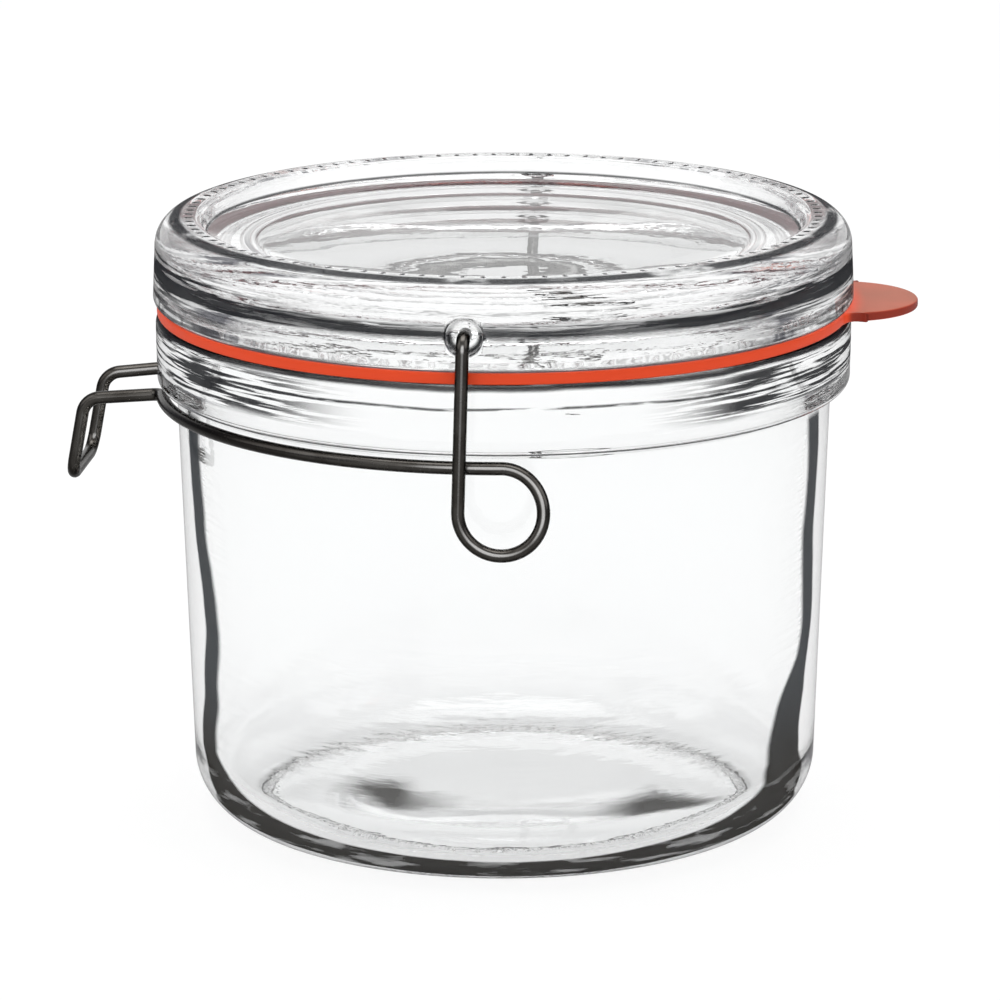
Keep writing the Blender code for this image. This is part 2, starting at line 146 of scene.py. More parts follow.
class BodySizes(bpy.types.PropertyGroup):
    """Sizes of the glass body."""
    radius: length("Radius", "Outer radius above the heel", 0.0489)
    flare: length("Flare", "How much wider the body is under the collar", 0.0020)
    height: length("Height", "Height of the collar's underside", 0.0689)
    wall: length("Wall", "Thickness of the glass above the heel", 0.0028)
    neck_wall: length("Neck wall", "Thickness of the glass under the collar", 0.0040)
    heel: length("Heel", "Radius of the rounded heel", 0.0097)
    inner_heel: length("Inner heel", "Radius of the heel on the inside", 0.0090)
    floor: length("Floor", "Thickness of the floor at its edge", 0.0024)
    crown: length("Crown", "How much thicker the floor is in its middle", 0.0012)
    crown_radius: length("Crown radius", "Radius of the thicker part", 0.0285)
    push_up: length("Push-up", "How far the base is pushed up", 0.0015)
    foot_ring: length("Foot ring", "Width of the flat ring under the base", 0.0025)
    grooves: IntProperty(name="Grooves", description="Short grooves across the foot ring", default=58, min=1)
    groove_width: length("Groove width", "Width of a groove round the foot ring", 0.0007)
    groove_depth: length("Groove depth", "How deep a groove is pressed in", 0.00025)
    neck_fillet: length("Neck fillet", "Fillet between body and collar", 0.0010)
    collar_height: length("Collar height", "Height of the collar", 0.0107)
    collar_overhang: length("Collar overhang", "How far the collar stands out at its foot", 0.0030)
    collar_flare: length("Collar flare", "How much wider the collar is at its top", 0.0001)
    collar_corner: length("Collar corner", "Rounding of the collar's lower edge", 0.0013)
    rim_corner: length("Rim corner", "Rounding of the rim's outer edge", 0.0012)
    mouth_corner: length("Mouth corner", "Rounding of the mouth's edge", 0.0008)
    mouth_lip: length("Mouth lip", "How far the wall narrows at the mouth", 0.0002)
    segments: IntProperty(name="Segments", description="Flats round the body", default=240, min=48)


class LidSizes(bpy.types.PropertyGroup):
    """Sizes of the glass lid."""
    bottom: length("Underside", "Height of the flange's underside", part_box("gasket")[1].z + 0.00025)
    radius: length("Radius", "Outer radius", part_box("lid")[1].y)
    height: length("Height", "Height above the flange's underside", 0.0131)
    shoulder_width: length("Shoulder width", "Width of the rounded shoulder", 0.0044)
    shoulder_drop: length("Shoulder drop", "Height of the rounded shoulder", 0.0044)
    flare: length("Flare", "How much wider the lid is at its flange", 0.00035)
    flange_height: length("Flange height", "Height of the flange's rounding", 0.0009)
    flange_corner: length("Flange corner", "Width of the flange's rounding", 0.0007)
    rim_width: length("Rim width", "Width of the raised rim", 0.0067)
    rim_crown: length("Rim crown", "Rounding of the rim's inner edge", 0.0002)
    recess: length("Recess", "Depth of the stacking recess", 0.0027)
    recess_slope: length("Recess slope", "Width of the recess's sloped wall", 0.0013)
    panel: length("Panel", "Thickness of the lid's middle", 0.0055)
    dome_rise: length("Dome rise", "How far the hollow rises in its middle", 0.0005)
    dome_fillet: length("Dome fillet", "Fillet round the hollow", 0.0045)
    plug_radius: length("Plug radius", "Radius of the plug", 0.0459)
    plug_depth: length("Plug depth", "How far the plug reaches down", 0.0043)
    plug_taper: length("Plug taper", "How much the plug narrows", 0.0005)
    plug_wall: length("Plug wall", "Thickness of the plug's wall", 0.0038)
    plug_corner: length("Plug corner", "Rounding of the plug's edges", 0.0008)
    dimple_height: length("Dimple height", "Height of the dimples above the flange", 0.0051)
    dimple_radius: length("Dimple radius", "Radius of each dimple", 0.0029)
    dimple_depth: length("Dimple depth", "Depth of each dimple", 0.0028)
    segments: IntProperty(name="Segments", description="Flats round the lid", default=240, min=48)


class DotSizes(bpy.types.PropertyGroup):
    """Sizes of the ring of shallow dots pressed into the lid's rim."""
    count: IntProperty(name="Count", description="Dots round the rim", default=101, min=1)
    ring: length("Ring radius", "Radius of the ring of dots", 0.0487)
    across: length("Across", "Length of a dot towards the lid's middle", 0.0014)
    along: length("Along", "Width of a dot round the rim", 0.0008)
    depth: length("Depth", "How deep a dot is pressed in", 0.00025)
    turn: angle("Turn", "Turn of the whole ring", 0.0)


class GasketSizes(bpy.types.PropertyGroup):
    """Sizes of the rubber gasket."""
    bottom: length("Underside", "Height of its underside", 0.07985)
    thickness: length("Thickness", "Thickness of the ring", 0.0018)
    radius: length("Radius", "Outer radius of the ring", 0.0538)
    bore: length("Bore", "Inner radius of the ring", 0.0469)
    corner: length("Corner", "Rounding of the edges", 0.0004)
    tab_radius: length("Tab radius", "Radius of the pull tab", 0.0120)
    tab_reach: length("Tab reach", "How far the tab stands out", 0.01058)
    tab_thickness: length("Tab thickness", "Thickness of the tab", 0.0014)
    tab_fillet: length("Tab fillet", "Fillet between ring and tab", 0.0025)
    tab_turn: angle("Tab turn", "Direction of the tab", 6.0)


class ClipSizes(bpy.types.PropertyGroup):
    """Sizes of the wire clip."""
    wire: length("Wire", "Radius of the wire", 0.0010)
    pivot: length("Pivot height", "Height of the tips' axis", 0.0870)
    tip: length("Tip", "Distance of each tip from the jar's axis", 0.05168)
    leg: length("Leg", "Distance of each leg from the jar's axis", 0.0555)
    hook_height: length("Hook height", "Height of the hook arcs", 0.0672)
    hook_radius: length("Hook radius", "Radius of the hook arcs", 0.05324)
    loop: length("Loop", "Radius of the spring loops", 0.0063)
    loop_offset: length("Loop offset", "How far the loops stand forward", 0.0055)
    lever_half: length("Lever half width", "Half of the lever's width at its root", 0.00985)
    lever_taper: length("Lever taper", "How much narrower it is at its end", 0.00095)
    lever_reach: length("Lever reach", "How far it stands out", 0.0114)
    lever_sag: length("Lever sag", "How far it falls on its way out", 0.0012)
    lever_drop: length("Lever drop", "How far its end hangs down", 0.0124)
    lever_lean: length("Lever lean", "How far its end leans out", 0.0023)
    tip_bend: length("Tip bend", "Bend radius at the tips", 0.0020)
    root_bend: length("Root bend", "Bend radius at the lever's root", 0.0020)
    lever_bend: length("Lever bend", "Bend radius at the lever's knee", 0.0031)
    foot_bend: length("Foot bend", "Bend radius at the lever's foot", 0.0030)


class Finishes(bpy.types.PropertyGroup):
    """Colours and finishes."""
    glass: colour("Glass", "Colour of the glass", (0.985, 0.990, 0.990))
    # Painted shade: the next colour darkens the glass where its surface turns away from the view.
    glass_edge_shade: colour("Glass edge", "Colour of the glass at grazing angles", (0.16, 0.17, 0.20))
    # Painted shade: the next three colours are the dark lines painted over the glass, round the heel, up the
    # wall, and in the collar and the lid.
    painted_wall_shade: colour("Glass dark", "Colour of the dark line down the body's side", (0.050, 0.055, 0.060))
    painted_heel_shade: colour("Glass heel", "Colour of that line round the thick heel", (0.028, 0.026, 0.023))
    painted_line_shade: colour("Glass line", "Colour of the lines in the collar and the lid", (0.020, 0.021, 0.024))
    rubber: colour("Rubber", "Colour of the gasket", (0.86, 0.070, 0.014))
    # Painted shade: the next colour darkens the gasket's flat faces between the glass parts.
    rubber_gap_shade: colour("Rubber deep", "Colour of its flat faces under the glass", (0.050, 0.004, 0.007))
    # Painted sheen: the next colour pales the tab's upward faces.
    rubber_top_sheen: colour("Rubber bloom", "Colour of the tab's dry surface", (0.36, 0.125, 0.080))
    # Painted shade: the next colour darkens the tab's upright edge.
    rubber_edge_shade: colour("Rubber side", "Colour of the tab's moulded edge", (0.30, 0.030, 0.013))
    wire: colour("Wire", "Colour of the drawn wire", (0.120, 0.113, 0.104))
    # Painted highlight: the next colour lightens the wire's middle where it faces the view.
    wire_painted_highlight: colour("Wire light", "Colour of the polished line along its middle", (0.62, 0.61, 0.60))
    # Painted shade: the next colour darkens the wire where it turns away.
    wire_edge_shade: colour("Wire edge", "Colour of the wire where it turns away", (0.022, 0.019, 0.016))
    wire_dark: colour("Wire shade", "Colour of its darker patches", (0.075, 0.069, 0.062))


class StudioSettings(bpy.types.PropertyGroup):
    """Camera and lamps."""
    distance: length("Distance", "Level distance from the jar's axis to the camera", 0.85476)
    height: length("Height", "Height of the camera", 0.26458)
    aim: length("Aim", "Height of the point on the jar's axis that it looks at", 0.05028)
    azimuth: angle("Azimuth", "How far the camera stands round to the tab's side", 6.2)
    roll: angle("Roll", "Tilt of the picture", -0.131)
    focal: FloatProperty(name="Focal length", description="In millimetres on a 36 mm sensor", default=202.36)
    shift_x: FloatProperty(name="Shift across", description="Share of the picture's width", default=-0.00390)
    shift_y: FloatProperty(name="Shift up", description="Share of the picture's width", default=-0.00768)
    top_lamp: FloatProperty(name="Top lamp", description="Power of the lamp overhead, in watts", default=9.0)
    side_lamp: FloatProperty(name="Side lamps", description="Power of each lamp at the side", default=3.0)


class Signal:
    """A node's output that takes part in Python sums, each of which adds a Math node."""

    def __init__(self, tree, socket):
        self.tree = tree
        self.socket = socket

    def math(self, operation, *values):
        return self.tree.math(operation, self, *values)

    def __add__(self, other):
        return self.math("ADD", other)

    def __sub__(self, other):
        return self.math("SUBTRACT", other)

    def __rsub__(self, other):
        return self.tree.math("SUBTRACT", other, self)

    def __mul__(self, other):
        return self.math("MULTIPLY", other)

    def __truediv__(self, other):
        return self.math("DIVIDE", other)

    def __pow__(self, other):
        return self.math("POWER", other)

    __radd__ = __add__
    __rmul__ = __mul__

    def between(self, low, high):
        """0 at low and below, 1 at high and above, and smooth between."""
        values = {"Value": self, "From Min": low, "From Max": high}
        return self.tree.add("ShaderNodeMapRange", values, {"interpolation_type": "SMOOTHSTEP"})

    def window(self, low, high, soft):
        """1 between two values and 0 outside them, with soft ends."""
        return self.between(low - soft, low + soft) * (1 - self.between(high - soft, high + soft))


class Nodes:
    """Adds nodes to one tree."""

    def __init__(self, tree):
        self.tree = tree

    def add(self, kind, values=None, settings=None, output=0):
        """A node with its settings made first, then its sockets' values or links. Colours have three parts.

        Gives the node's output of that name or number, or a list of them for a tuple of names.
        """
        node = self.tree.nodes.new(kind)
        for name, value in (settings or {}).items():
            if name == "stops":
                for place, _ in value[1:-1]:
                    node.color_ramp.elements.new(place)
                for stop, (place, tone) in zip(node.color_ramp.elements, value):
                    stop.position = place
                    stop.color = (tone, tone, tone, 1.0)
            else:
                setattr(node, name, value)
        for name, value in (values or {}).items():
            socket = node.inputs[name]
            if isinstance(value, Signal):
                self.tree.links.new(value.socket, socket)
            else:
                socket.default_value = (*value, 1.0) if socket.type == "RGBA" else value
        if isinstance(output, tuple):
            return [Signal(self, node.outputs[name]) for name in output]
        return Signal(self, node.outputs[output]) if node.outputs else None

    def math(self, operation, *values):
        return self.add("ShaderNodeMath", dict(enumerate(values)), {"operation": operation})

    def ramp(self, stops, value):
        """A number that follows pairs of (value, number)."""
        return self.add("ShaderNodeValToRGB", {0: value}, {"stops": stops})

    def mix(self, factor, first, second):
        """A colour between two others."""
        return self.add("ShaderNodeMix", {"Factor": factor, 6: first, 7: second}, {"data_type": "RGBA"}, 2)

    def mix_shaders(self, factor, first, second):
        return self.add("ShaderNodeMixShader", {0: factor, 1: first, 2: second})

    def noise(self, place, scale, detail, squeeze=None):
        """A noise pattern from 0 to 1."""
        if squeeze:
            values = {0: place, 1: (1.0, 1.0, squeeze)}
            place = self.add("ShaderNodeVectorMath", values, {"operation": "MULTIPLY"})
        return self.add("ShaderNodeTexNoise", {"Vector": place, "Scale": scale, "Detail": detail})


def new_material(name, tone):
    """A material with its colour in the viewport, and the nodes of its empty tree."""
    made = bpy.data.materials.new(name)
    made.diffuse_color = (*tone, 1.0)
    made.use_nodes = True
    made.node_tree.nodes.clear()
    return made, Nodes(made.node_tree)


def glass_material(name, finish, streaks, lines, foot=None):
    """Clear pressed glass with drawn-out streaks.

    The function lines says where dark lines of painted shade go. Foot holds the two radii of a rough ring to
    stand on.
    """
    made, nodes = new_material(name, finish.glass)
    place = nodes.add("ShaderNodeTexCoord", output="Object")
    x, y, z = nodes.add("ShaderNodeSeparateXYZ", {0: place}, output=AXES)
    radius = (x * x + y * y).math("SQRT")
    wave, streak, thread = (nodes.noise(place, *pattern) for pattern in (WAVES, STREAKS, THREADS))
    outer_part = radius.between(0.0400, 0.0450)
    height = (wave * 0.6 + streak * streaks) * (outer_part * 0.8 + 0.2)
    if foot:
        inner, outer = foot
        ring = radius.between(inner, inner + 0.0005) * (1 - radius.between(outer - 0.0005, outer))
        ring = ring * (1 - z.between(0.0002, 0.0006))
        height = height + nodes.noise(place, *GRIT) * ring * 6.0
        rough = ring * 0.35
    else:
        plug = 1 - z.between(0.0815, 0.0835)
        height = height + streak * plug * 2.0
        rough = 0.0
    normal = nodes.add("ShaderNodeBump", {"Height": height, "Distance": 0.0001, "Strength": 1.0})
    facing = nodes.add("ShaderNodeLayerWeight", {"Blend": 0.5}, output="Facing")
    # Painted shade: the glass darkens where its surface turns away from the view, standing in for dark
    # refractions.
    tone = nodes.mix(facing.between(0.90, 0.985) * 0.8, finish.glass, finish.glass_edge_shade)
    glass = nodes.add("ShaderNodeBsdfPrincipled", {
        "Base Color": tone, "Roughness": rough, "IOR": 1.5, "Transmission Weight": 1.0, "Normal": normal})

    inside = nodes.add("ShaderNodeAttribute", None, {"attribute_name": INSIDE_MARK}, "Fac")
    back = nodes.add("ShaderNodeNewGeometry", output="Backfacing")
    shade_mask = lines(nodes, facing, (x, y, z, radius), (wave, streak, thread), (inside, back))
    # Painted shade: dark diffuse colours laid over the glass where the lines fall, standing in for what thick
    # glass bends into view.
    heel, wall, line = (nodes.add("ShaderNodeBsdfDiffuse", {"Color": shade}) for shade in (
        finish.painted_heel_shade, finish.painted_wall_shade, finish.painted_line_shade))
    dark = nodes.mix_shaders(z.between(0.010, 0.030), heel, wall)
    dark = nodes.mix_shaders(z.between(0.066, 0.070), dark, line)
    glass = nodes.mix_shaders(shade_mask * 0.96, glass, dark)

    clear = nodes.add("ShaderNodeBsdfTransparent", {"Color": (0.95, 0.95, 0.95)})
    dense = nodes.add("ShaderNodeBsdfTransparent", {"Color": (0.25, 0.25, 0.26)})
    cast = nodes.mix_shaders(radius.between(0.0365, 0.0385) * (1 - z.between(0.055, 0.065)), clear, dense)
    shadow = nodes.add("ShaderNodeLightPath", output="Is Shadow Ray")
    nodes.add("ShaderNodeOutputMaterial", {"Surface": nodes.mix_shaders(shadow, glass, cast)})
    return made


def body_painted_shade(nodes, facing, place, noise, sides):
    """Painted shade on the body where the hollow wall, the collar and the pushed-up base throw the view
    aside: 1 there, 0 elsewhere.
    """
    x, y, z, radius = place
    wave, streak, thread = noise
    inside, back = sides
    upright = nodes.add("ShaderNodeCombineXYZ", {"Z": 1.0})
    from_beside = nodes.add("ShaderNodeLayerWeight", {"Blend": 0.5, "Normal": upright}, output="Facing")
    from_beside = from_beside.between(0.30, 0.55)

    up_wall = z / WALL_HEIGHT
    wide_heel = x.window(0.018, 0.080, 0.012) * z.window(0.006, 0.026, 0.004)
    start = nodes.ramp(WALL_LINE_START, up_wall) - wide_heel * 0.08
    end = nodes.ramp(WALL_LINE_END, up_wall)
    thin = z.between(0.024, 0.034) * (1 - z.between(0.036, 0.050))
    thick = z.between(0.010, 0.014) * (1 - z.between(0.016, 0.024))
    tilt = facing - (x * (thin * 0.9 - thick * 0.9) + (wave - 0.5) * 0.05)
    rise = ((tilt - start) / 0.035 + 0.75).between(0.0, 1.0)
    fall = ((end - tilt) / 0.02 + 0.5).between(0.0, 1.0)
    wall = rise * fall * (1 - z.between(0.0665, 0.068)) * radius.between(0.0392, 0.0396)
    heel_patches = (1 - z.between(0.006, 0.014)) * streak.between(0.52, 0.66)
    wall = wall * (1 - heel_patches * 0.35)

    level = z + (wave - 0.5) * 0.0010
    collar = facing.between(0.10, 0.30) * thread.between(0.44, 0.54) * level.window(*COLLAR_SHADE_STREAKS)
    seam = level.window(*COLLAR_SEAM) * streak.between(0.38, 0.50) * 0.9
    edges = z.window(*COLLAR_FOOT) * 0.9 + level.window(*COLLAR_RIM) * 0.95
    edges = edges * radius.between(0.0520, 0.0524)

    across = x - LENS_X + (wave - 0.5) * 0.008
    along = y - LENS_Y + (streak - 0.5) * 0.008
    reach = (across * across + along * along * 2.6).math("SQRT")
    near_half = 1 - along.between(-0.006, 0.003)
    lens = reach.window(*BASE_LENS) * near_half * (1 - z.between(0.006, 0.007))
    lens = lens * (across.math("ABSOLUTE").between(0.009, 0.021) * 0.84 + 0.14)

    outer = (wall * from_beside + collar + seam + edges) * (1 - inside)
    return (outer + lens * inside * from_beside).math("MINIMUM", 1.0) * (1 - back)


def lid_painted_shade(dots, nodes, facing, place, noise, sides):
    """Painted shade on the lid where its thick rim, waist, dots and dimples throw the view aside: 1 there, 0
    elsewhere.
    """
    x, y, z, radius = place
    wave, streak, thread = noise
    _, back = sides
    around = y.math("ARCTAN2", x) + dots.turn
    beside = ((around * dots.count / (2 * pi)).math("FRACT") - 0.5) * (2 * pi * dots.ring / dots.count)
    apart = (beside / dots.along * 2) ** 2 + ((radius - dots.ring) / dots.across * 2) ** 2
    dot = (1.2 - apart).between(0.0, 0.5) * z.between(0.0935, 0.0940) * 0.9

    level = z + (wave - 0.5) * 0.0009
    side = radius.between(0.0532, 0.0536)
    fine_threads = thread.between(0.42, 0.58)
    waist = level.window(*LID_WAIST) * side * (thread * 0.7 + 0.65)
    waist = waist + level.window(*WAIST_SHADE_STREAKS) * facing.between(0.08, 0.30) * fine_threads * side * 0.7
    streaks = facing.between(0.14, 0.50) * fine_threads + facing.between(0.45, 0.80) * 0.25
    streaks = streaks * (1 - z.between(0.0905, 0.092)) * side * 0.7

    spread = radius + (wave - 0.5) * 0.0006
    rim = spread.window(*LID_RIM) * z.between(0.0940, 0.0943) * streak.between(0.25, 0.45) * 0.95
    recess = z.between(0.0920, 0.0922) * (1 - z.between(0.0925, 0.0928))
    foot = spread.window(*RECESS_FOOT) * recess * 0.9

    reach = (x * x + (z - DIMPLE_Z) ** 2).math("SQRT")
    dimple = reach.window(*DIMPLE_RING) * y.math("ABSOLUTE").between(0.050, 0.051)
    dimple = dimple * (1 - z.between(0.0868, 0.0885) * 0.6)
    return ((waist + streaks + rim + foot + dot) * (1 - back) + dimple).math("MINIMUM", 1.0)


def rubber_material(finish):
    """Moulded rubber with a fine grain, painted shade between the glass parts and on the tab's edge, and a
    painted sheen on the tab's top.
    """
    made, nodes = new_material("orange_rubber", finish.rubber)
    place = nodes.add("ShaderNodeTexCoord", output="Object")
    grain, cloud = (nodes.noise(place, *pattern) for pattern in (RUBBER_GRAIN, RUBBER_CLOUDS))
    x, y = nodes.add("ShaderNodeSeparateXYZ", {0: place}, output=("X", "Y"))
    reach = (x ** 2 + y ** 2) ** 0.5
    outward = nodes.add("ShaderNodeNewGeometry", output="Normal")
    up = nodes.add("ShaderNodeSeparateXYZ", {0: outward}, output="Z")
    # Painted sheen: paler and rougher where the tab faces up, with cloudy tone.
    top_sheen = reach.between(0.0530, 0.0565) * up.between(0.35, 0.95) * (cloud * 0.4 + 0.7)
    flat = up.math("ABSOLUTE").between(0.5, 0.9)
    bore = 1 - reach.between(0.0472, 0.0480)
    # Painted shade: the flat faces and the bore, between the glass parts, go deep red.
    pressed = (1 - reach.between(0.0533, 0.0537)) * flat.math("MAXIMUM", bore)
    # Painted shade down the tab's upright edge.
    tab_edge_shade = reach.between(0.0540, 0.0550) * (1 - flat)
    tone = nodes.mix(top_sheen, finish.rubber, finish.rubber_top_sheen)
    tone = nodes.mix(pressed, tone, finish.rubber_gap_shade)
    tone = nodes.mix(tab_edge_shade, tone, finish.rubber_edge_shade)
    rough = 0.42 + cloud * 0.12 + top_sheen * 0.15
    normal = nodes.add("ShaderNodeBump", {"Height": grain, "Distance": 0.00002, "Strength": 0.5})
    shader = nodes.add("ShaderNodeBsdfPrincipled", {
        "Base Color": tone, "Roughness": rough, "Specular IOR Level": 0.25, "Normal": normal,
        "Sheen Weight": 0.05, "Sheen Roughness": 0.4})
    nodes.add("ShaderNodeOutputMaterial", {"Surface": shader})
    return made


def wire_material(finish):
    """Dark drawn spring wire: cloudy, with small dull spots, a painted highlight along its middle and painted
    shade to its sides.
    """
    made, nodes = new_material("dark_spring_wire", finish.wire)
    place = nodes.add("ShaderNodeTexCoord", output="Object")
    cloud, speck = (nodes.noise(place, *pattern) for pattern in (WIRE_CLOUDS, WIRE_SPECKS))
    facing = nodes.add("ShaderNodeLayerWeight", {"Blend": 0.5}, output="Facing")
    tone = nodes.mix(cloud.between(0.35, 0.65), finish.wire, finish.wire_dark)
    # Painted highlight along the middle, where the wire faces the view.
    tone = nodes.mix(facing.between(0.0, 0.05), finish.wire_painted_highlight, tone)
    # Painted shade where the wire turns away from the view.
    tone = nodes.mix(facing.between(0.08, 0.45), tone, finish.wire_edge_shade)
    rough = 0.22 + cloud * 0.06 + speck.between(0.55, 0.75) * 0.10
    normal = nodes.add("ShaderNodeBump", {"Height": speck + cloud * 2, "Distance": 0.00001, "Strength": 0.6})
    shader = nodes.add("ShaderNodeBsdfPrincipled", {
        "Base Color": tone, "Roughness": rough, "Metallic": 1.0, "Normal": normal})
    nodes.add("ShaderNodeOutputMaterial", {"Surface": shader})
    return made


def smooth(part):
    """A share from 0 to 1, eased at both ends."""
    return part * part * (3 - 2 * part)


def arc(centre, radii, start, end, steps):
    """Points (radius, height) along part of an ellipse, or of a circle if radii is one number. Degrees."""
    across, up = radii if isinstance(radii, tuple) else (radii, radii)
    points = []
    for step in range(steps + 1):
        turn = radians(start + (end - start) * step / steps)
        points.append((centre[0] + across * cos(turn), centre[1] + up * sin(turn)))
    return points


def ease(start, end, steps):
    """Points after the first on a curve between two others that starts and ends upright."""
    points = []
    for step in range(1, steps + 1):
        part = step / steps
        across = (1 - cos(pi * part)) / 2
        points.append((start[0] + (end[0] - start[0]) * across, start[1] + (end[1] - start[1]) * part))
    return points


def straight(start, end, steps):
    """Points after the first on a straight line."""
    return [(start[0] + (end[0] - start[0]) * step / steps, start[1] + (end[1] - start[1]) * step / steps)
            for step in range(1, steps + 1)]


def bend(start, corner, end, steps):
    """Points after the first on a curve that leaves start towards corner and comes into end from it."""
    points = []
    for step in range(1, steps + 1):
        part = step / steps
        pulls = list(zip(((1 - part) ** 2, 2 * part * (1 - part), part ** 2), (start, corner, end)))
        points.append(tuple(sum(pull * place[axis] for pull, place in pulls) for axis in (0, 1)))
    return points


def base_z(size, radius, hollow):
    """Height of the pushed-up base at a radius."""
    return size.push_up * (1 - min(1.0, radius / hollow) ** 4)


def body_profile(size):
    """The body's section: up its inside from the middle of the floor, over the rim and down its outside."""
    neck = size.radius + size.flare
    collar = neck + size.collar_overhang
    collar_top = collar + size.collar_flare
    mouth = neck - size.neck_wall - size.mouth_lip
    height = size.height + size.collar_height
    heel_r = size.radius - size.heel
    hollow = heel_r - size.foot_ring
    floor_r = size.radius - size.wall - size.inner_heel
    points = []
    for step in range(FLOOR_RINGS):
        radius = floor_r * step / FLOOR_RINGS
        out = min(1.0, radius / size.crown_radius)
        depth = size.floor + size.crown * (1 - out ** 4)
        points.append((radius, base_z(size, radius, hollow) + depth))
    points += arc((floor_r, size.floor + size.inner_heel), size.inner_heel, -90, 0, 20)
    points += straight(points[-1], (neck - size.neck_wall, size.height), 6)
    points += straight(points[-1], (mouth, height - size.mouth_corner), 2)[:-1]
    mouth_centre = (mouth + size.mouth_corner, height - size.mouth_corner)
    points += arc(mouth_centre, size.mouth_corner, 180, 90, 5)
    points += arc((collar_top - size.rim_corner, height - size.rim_corner), size.rim_corner, 90, 0, 8)
    lip = (collar_top, height - 2 * size.rim_corner)
    points.append(lip)
    points += ease(lip, (collar, size.height + size.collar_corner), 10)[:-1]
    corner_centre = (collar - size.collar_corner, size.height + size.collar_corner)
    points += arc(corner_centre, size.collar_corner, 0, -90, 8)
    neck_centre = (neck + size.neck_fillet, size.height - size.neck_fillet)
    points += arc(neck_centre, size.neck_fillet, 90, 180, 6)
    points += straight(points[-1], (size.radius, size.heel), 10)[:-1]
    points += arc((heel_r, size.heel), size.heel, 0, -90, 24)
    points += straight(points[-1], (hollow, 0.0), 8)
    for step in range(1, FLOOR_RINGS):
        radius = hollow * (1 - step / FLOOR_RINGS)
        points.append((radius, base_z(size, radius, hollow)))
    points.append((0.0, size.push_up))
    return points


def inside_shares(size, profile):
    """1 for each point of the body's profile that is inside the jar, up to its rim, and 0 for the others."""
    rim = max(height for radius, height in profile)
    top = min(index for index, place in enumerate(profile) if place[1] > rim - size.mouth_lip / 10)
    return [1.0 if index < top else 0.0 for index in range(len(profile))]


def lid_profile(size):
    """The lid's section: from the middle of its top, over the rim, down the side and back under the plug."""
    top = size.bottom + size.height
    recess = top - size.recess
    rim_inner = size.radius - size.rim_width
    foot = rim_inner - size.recess_slope
    shoulder = (size.radius, top - size.shoulder_drop)
    flange = (size.radius + size.flare, size.bottom + size.flange_height)
    plug_low = size.plug_radius - size.plug_taper
    plug_bottom = size.bottom - size.plug_depth + size.plug_corner
    hollow = size.plug_radius - size.plug_wall
    ceiling = recess - size.panel
    points = [(0.0, recess)] + straight((0.0, recess), (foot - size.rim_crown, recess), 6)
    crest = (rim_inner - size.recess_slope / 4, top - 2 * size.rim_crown)
    points += bend((foot - size.rim_crown, recess), (foot, recess), crest, 6)
    points += bend(points[-1], crest, (rim_inner + size.rim_crown, top - size.rim_crown), 6)
    shoulder_centre = (size.radius - size.shoulder_width, shoulder[1])
    points += bend(points[-1], (rim_inner + 2 * size.rim_crown, top), (shoulder_centre[0], top), 14)
    points += arc(shoulder_centre, (size.shoulder_width, size.shoulder_drop), 90, 0, 16)[1:]
    points += straight(shoulder, flange, 12)
    flange_centre = (flange[0] - size.flange_corner, flange[1])
    points += arc(flange_centre, (size.flange_corner, size.flange_height), 0, -90, 6)[1:]
    points.append((size.plug_radius, size.bottom))
    points += arc((plug_low - size.plug_corner, plug_bottom), size.plug_corner, 0, -90, 5)
    points += arc((hollow + size.plug_corner, plug_bottom), size.plug_corner, -90, -180, 5)
    points += arc((hollow - size.dome_fillet, ceiling - size.dome_fillet), size.dome_fillet, 0, 90, 8)
    for step in range(1, DOME_RINGS + 1):
        part = step / DOME_RINGS
        rise = size.dome_rise * (1 - cos(pi * part)) / 2
        points.append(((hollow - size.dome_fillet) * (1 - part), ceiling + rise))
    return points


def placed(name, data):
    """A new object in the scene."""
    item = bpy.data.objects.new(name, data)
    bpy.context.scene.collection.objects.link(item)
    return item


def mesh_of(name, places, edges, faces):
    """A new mesh."""
    mesh = bpy.data.meshes.new(name)
    mesh.from_pydata(places, edges, faces)
    return mesh


def plain_mesh(item):
    """The mesh of an object with its modifiers worked out."""
    bpy.context.view_layer.update()
    return bpy.data.meshes.new_from_object(item.evaluated_get(bpy.context.evaluated_depsgraph_get()))


def turned(name, profile, segments, fine, times, shares=None):
    """A closed solid turned about the Z axis.

    Rings in the box fine, two (radius, height) corners, are cut finer by times. Shares marks each ring.
    """
    places, rings, faces = [], [], []
    for radius, height in profile:
        if radius < TINY:
            rings.append([len(places)])
            places.append((0.0, 0.0, height))
            continue
        flats = segments
        if fine[0][0] < radius < fine[1][0] and fine[0][1] < height < fine[1][1]:
            flats *= times
        rings.append(list(range(len(places), len(places) + flats)))
        for step in range(flats):
            turn = 2 * pi * step / flats
            places.append((radius * cos(turn), radius * sin(turn), height))
    for low, high in zip(rings, rings[1:]):
        few, many = (low, high) if len(low) <= len(high) else (high, low)
        pole = len(few) == 1
        ratio = 1 if pole else len(many) // len(few)
        for step in range(len(many) // ratio):
            edge = [many[(step * ratio + part) % len(many)] for part in range(ratio + 1)]
            edge += few if pole else [few[(step + 1) % len(few)], few[step]]
            faces.append(edge if many is low else edge[::-1])
    made = solid(name, places, faces)
    if shares:
        marks = made.data.attributes.new(INSIDE_MARK, "FLOAT", "POINT")
        for ring, part in zip(rings, shares):
            for index in ring:
                marks.data[index].value = part
    return made


